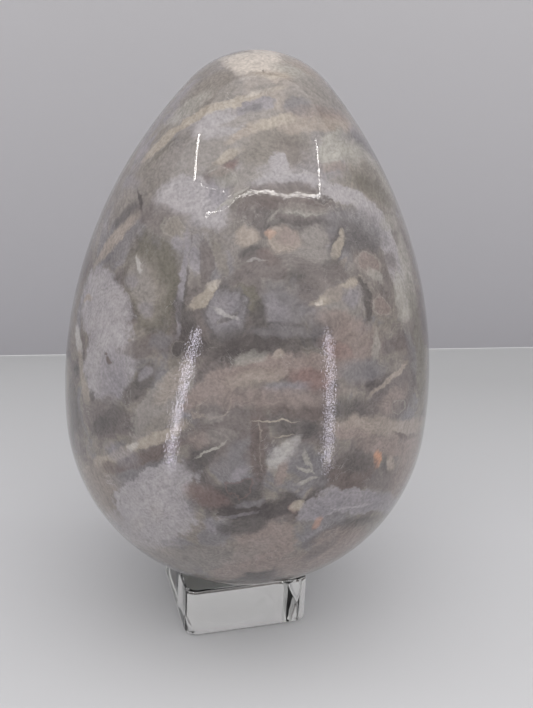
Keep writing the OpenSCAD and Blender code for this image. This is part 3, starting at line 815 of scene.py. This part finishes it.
def agate_material(scene):
    """Grey agate: a clouded ground, the placed figures, fine grain, and a polish that is worn lower down."""
    shades = scene.stone_colours
    foot = egg_foot(scene.glass_shape)
    material = bpy.data.materials.new("polished_agate")
    tree = cleared_tree(material)
    spot = add(tree, "ShaderNodeTexCoord")
    head = np.radians(STONE_FRONT)
    flow = place(tree, flow_group((-np.cos(head), -np.sin(head))), Position=(spot, "Object"))
    millimetres, flowing, placed = ((flow, title) for title in ("Millimetres", "Flowing", "Placed"))

    # The ground is darker below the shoulder and paler above it
    cloud = noise(tree, flowing, 0.06, 6.0, 0.6, 0.8)
    low = colour_ramp(tree, cloud, ((0.32, shades.dark), (0.44, shades.smoke), (0.52, shades.olive),
                                    (0.6, shades.slate), (0.74, shades.haze)))
    high = colour_ramp(tree, cloud, ((0.32, shades.olive), (0.46, shades.ash), (0.56, shades.haze),
                                     (0.72, shades.pale)))
    height = add(tree, "ShaderNodeSeparateXYZ", {0: flowing}), "Z"
    rise = mapped(tree, height, 105.0, 135.0, 0.0, 1.0)
    last = mixed(tree, rise, low, high)

    # The figures' own position waits for the ground's noise, so that they are worked out one after another
    reach = 1.6
    jostle = vector_maths(tree, "MULTIPLY_ADD", (cloud, "Color"), (reach,) * 3, (-reach / 2,) * 3)
    moved = vector_maths(tree, "ADD", jostle, placed)
    ragged = spread_noise(tree, millimetres, 0.5, 4.0, -0.3, 0.3)
    outline = egg_outline(scene.egg_shape, 600)
    kinds = {(rimmed, deep): figure_group(
        "Stone figure" + " with rim" * rimmed + " near edge" * deep, rimmed, deep)
        for rimmed in (False, True) for deep in (False, True)}
    for name, heading, height_here, long, wide, turn, soft, strength, shade, *edge in FIGURES:
        middle, along, across, out = figure_frame(outline, foot, heading, height_here, turn)
        inputs = dict(Middle=middle, Along=along / long, Across=across / wide, Inner=(1 - soft) ** 2,
                      Outer=(1 + soft) ** 2, Strength=strength, Colour=solid(getattr(shades, shade)),
                      Flowing=moved, Ragged=ragged, Below=last)
        if edge:
            bend, rim, rim_strength = edge
            inputs.update(Bend=bend, Rim=solid(getattr(shades, rim)), Rim_strength=rim_strength)
        deep = abs(heading - STONE_FRONT) > DEEP_HEADING or abs(out.z) > DEEP_SLOPE
        if deep:
            inputs.update(Outwards=out / DEEP_REACH)
        node = place(tree, kinds[bool(edge), deep], **inputs)
        node.label = name
        last = node, "Colour"
    grain = place(tree, grain_group(), Millimetres=millimetres, Flowing=flowing, Colour=last,
                  Thread_colour=solid(shades.white))

    # The polish is bright above the shoulder and worn to fine pores below it
    bright, worn_out, pore_depth, swell_share = 0.007, 0.048, 0.0008, 1.5
    worn = mapped(tree, height, 111.0, 97.0, bright, worn_out, interpolation_type="SMOOTHSTEP")
    pores = noise(tree, millimetres, 1.9, 1.0)
    swell = noise(tree, millimetres, 0.1, 1.0, 0.5)
    dent = maths(tree, "MULTIPLY", maths(tree, "MULTIPLY_ADD", swell, swell_share, pores), worn)
    bump = add(tree, "ShaderNodeBump", {"Height": dent, "Strength": 1.0, "Distance": pore_depth})
    shader = add(tree, "ShaderNodeBsdfPrincipled", {
        "Base Color": (grain, "Colour"), "Roughness": worn, "Normal": bump, "IOR": 1.54})
    add(tree, "ShaderNodeOutputMaterial", {"Surface": shader})
    return material


def glass_material(scene):
    """Clear glass. Shadow rays pass it in half of its tint, so its shadow is pale."""
    tint = scene.glass_shape.tint
    material = bpy.data.materials.new("clear_glass")
    tree = cleared_tree(material)
    shader = add(tree, "ShaderNodeBsdfPrincipled", {
        "Base Color": solid(tint), "Roughness": 0.0, "IOR": 1.5, "Transmission Weight": 1.0,
        "Metallic": 0.0})
    passing = add(tree, "ShaderNodeBsdfTransparent", {"Color": solid(np.array(tint) / 2)})
    path = add(tree, "ShaderNodeLightPath")
    mix = add(tree, "ShaderNodeMixShader", {0: (path, "Is Shadow Ray"), 1: shader, 2: passing})
    add(tree, "ShaderNodeOutputMaterial", {"Surface": mix})
    return material


def stage_material(name, low, high, foot, reach, along, see_through_back=False):
    """A matt sheet whose colour runs from low to high between two distances in the direction along."""
    material = bpy.data.materials.new(name)
    tree = cleared_tree(material)
    spot = add(tree, "ShaderNodeTexCoord")
    reached = vector_maths(tree, "DOT_PRODUCT", (spot, "Object"), tuple(along))
    rise = mapped(tree, (reached, "Value"), foot, reach, 0.0, 1.0)
    mix = mixed(tree, rise, solid(low), solid(high))
    shader = add(tree, "ShaderNodeBsdfPrincipled", {
        "Base Color": mix, "Roughness": 0.9, "Specular IOR Level": 0.1})
    surface = shader
    if see_through_back:
        side = add(tree, "ShaderNodeNewGeometry")
        clear = add(tree, "ShaderNodeBsdfTransparent")
        surface = add(tree, "ShaderNodeMixShader", {0: (side, "Backfacing"), 1: shader, 2: clear})
    add(tree, "ShaderNodeOutputMaterial", {"Surface": surface})
    return material


def linked(name, data):
    """An object in the scene's own collection."""
    thing = bpy.data.objects.new(name, data)
    bpy.context.scene.collection.objects.link(thing)
    return thing


def flat_sheet(name, corners, material):
    """A single four-cornered sheet of the stage."""
    mesh = bpy.data.meshes.new(name)
    mesh.from_pydata([tuple(c) for c in corners], [], [(0, 1, 2, 3)])
    mesh.materials.append(material)
    linked(name, mesh)


def strip_lamp(name, ends, wide, power, gloss_only):
    """A long narrow lamp between two points, facing the egg. A gloss-only one shows in reflections alone."""
    start, end = Vector(ends[0]), Vector(ends[1])
    data = bpy.data.lights.new(name, "AREA")
    data.shape = "RECTANGLE"
    data.size, data.size_y = (end - start).length, wide
    data.energy = power
    data.color = (0.88, 0.84, 1.0) if gloss_only else (1.0, 0.97, 0.93)
    lamp = linked(name, data)
    middle = (start + end) / 2
    along = (end - start).normalized()
    toward = LAMP_AIM - middle
    toward = (toward - toward.dot(along) * along).normalized()
    turn = Matrix((along, along.cross(toward), -toward)).transposed()
    lamp.matrix_world = Matrix.Translation(middle) @ turn.to_4x4()
    lamp.visible_camera = False
    if gloss_only:
        lamp.visible_diffuse = lamp.visible_transmission = lamp.visible_volume_scatter = False


def light_box(scene, seen_colour):
    """The world: a dome that is brighter overhead, and an even backdrop for the camera alone."""
    level, overhead, seen_strength = 0.26, 1.72, 0.7
    scene.world = bpy.data.worlds.new("light_box")
    tree = cleared_tree(scene.world)
    sky = add(tree, "ShaderNodeTexCoord")
    parts = add(tree, "ShaderNodeSeparateXYZ", {0: (sky, "Generated")})
    dome = add(tree, "ShaderNodeBackground", {
        "Color": (1.0, 0.985, 0.985, 1), "Strength": mapped(tree, (parts, "Z"), 0.0, 1.0, level, overhead)})
    seen = add(tree, "ShaderNodeBackground", {"Color": solid(seen_colour), "Strength": seen_strength})
    path = add(tree, "ShaderNodeLightPath")
    mix = add(tree, "ShaderNodeMixShader", {0: (path, "Is Camera Ray"), 1: dome, 2: seen})
    add(tree, "ShaderNodeOutputWorld", {"Surface": mix})


def view_camera(scene, look, head, right):
    """The camera that takes the main picture."""
    data = bpy.data.cameras.new("camera")
    data.lens = look.lens
    data.sensor_width = 36
    data.clip_start, data.clip_end = 0.01, 20
    camera = linked("camera", data)
    tilt = np.radians(look.elevation)
    back = Vector((np.sin(head) * np.cos(tilt), -np.cos(head) * np.cos(tilt), np.sin(tilt)))
    aim = Vector(right) * look.aim_side + Vector((0, 0, look.aim_height))
    facing = (-back).to_track_quat("-Z", "Y").to_matrix() @ Matrix.Rotation(np.radians(look.roll), 3, "Z")
    camera.matrix_world = Matrix.Translation(aim + back * look.distance) @ facing.to_4x4()
    scene.camera = camera


class BUILD_OT_agate_egg(Operator):
    """Build the polished agate egg"""
    bl_idname = "agate_egg.build_egg"
    bl_label = "Agate egg"

    def execute(self, context):
        scene = context.scene
        piece = surface_mesh("polished_egg", *egg_points(scene.egg_shape, egg_foot(scene.glass_shape)))
        piece.data.materials.append(agate_material(scene))
        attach(piece, "egg")
        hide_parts("agate_egg")
        return {"FINISHED"}


class BUILD_OT_glass_block(Operator):
    """Build the clear glass block with its dish"""
    bl_idname = "agate_egg.build_block"
    bl_label = "Glass block"

    def execute(self, context):
        scene = context.scene
        piece = surface_mesh("moulded_block", *block_points(scene.glass_shape, egg_base(scene.egg_shape)))
        piece.data.materials.append(glass_material(scene))
        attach(piece, "block")
        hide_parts("glass_block")
        return {"FINISHED"}


class BUILD_OT_stage(Operator):
    """Build the pale floor, the wall, the soft light and the camera"""
    bl_idname = "agate_egg.build_stage"
    bl_label = "Stage"

    def execute(self, context):
        look = context.scene.stage_look
        head = np.radians(look.heading)
        right = np.array([np.cos(head), np.sin(head), 0])
        ahead = np.array([-np.sin(head), np.cos(head), 0])
        up = np.array([0, 0, 1.0])
        # Painted shade: the floor's colour darkens towards the wall
        floor = stage_material("pale_floor", look.floor, look.floor_wall_shade, 0.04, 0.17, ahead)
        # Painted shade: the wall's colour darkens towards its foot
        wall = stage_material("pale_wall", look.wall_foot_shade, look.wall_high, 0.0, 0.16, up, True)
        flat_sheet("floor", [(x * FLOOR_REACH, y * FLOOR_REACH, FLOOR_LEVEL)
                             for x, y in ((-1, -1), (1, -1), (1, 1), (-1, 1))], floor)
        sideways = 1.2 * (right + WALL_SLANT * ahead)
        ends = WALL_DISTANCE * ahead - sideways, WALL_DISTANCE * ahead + sideways
        flat_sheet("wall", [*ends, ends[1] + up, ends[0] + up], wall)
        for name, wide, power, gloss_only, *ends in LAMPS:
            strip_lamp(name, [right * x + ahead * y + up * z for x, y, z in ends], wide, power, gloss_only)
        light_box(context.scene, look.wall_high)
        view_camera(context.scene, look, head, right)
        context.scene.view_settings.view_transform = "Standard"
        return {"FINISHED"}


class AGATE_PT_panel(Panel):
    """Sizes, colours and build buttons"""
    bl_idname = "AGATE_PT_panel"
    bl_label = "Agate egg"
    bl_space_type = "VIEW_3D"
    bl_region_type = "UI"
    bl_category = "Agate egg"

    def draw(self, context):
        for title, settings_name, operator in (
            ("Egg", "egg_shape", BUILD_OT_agate_egg.bl_idname), ("Stone", "stone_colours", None),
            ("Glass block", "glass_shape", BUILD_OT_glass_block.bl_idname),
            ("Stage", "stage_look", BUILD_OT_stage.bl_idname),
        ):
            box = self.layout.box()
            box.label(text=title)
            settings = getattr(context.scene, settings_name)
            for key in settings.__annotations__:
                box.prop(settings, key)
            if operator:
                box.operator(operator)


CLASSES = (EggShape, StoneColours, GlassShape, StageLook, BUILD_OT_agate_egg, BUILD_OT_glass_block,
           BUILD_OT_stage, AGATE_PT_panel)
SETTINGS = {
    "egg_shape": EggShape, "stone_colours": StoneColours, "glass_shape": GlassShape, "stage_look": StageLook}


def register():
    for cls in CLASSES:
        bpy.utils.register_class(cls)
    for name, kind in SETTINGS.items():
        setattr(bpy.types.Scene, name, PointerProperty(type=kind))


def unregister():
    for name in SETTINGS:
        delattr(bpy.types.Scene, name)
    for cls in reversed(CLASSES):
        bpy.utils.unregister_class(cls)


def main():
    register()
    bpy.ops.agate_egg.build_block()
    bpy.ops.agate_egg.build_egg()
    bpy.ops.agate_egg.build_stage()
    bpy.context.view_layer.update()


if __name__ == "__main__":
    main()
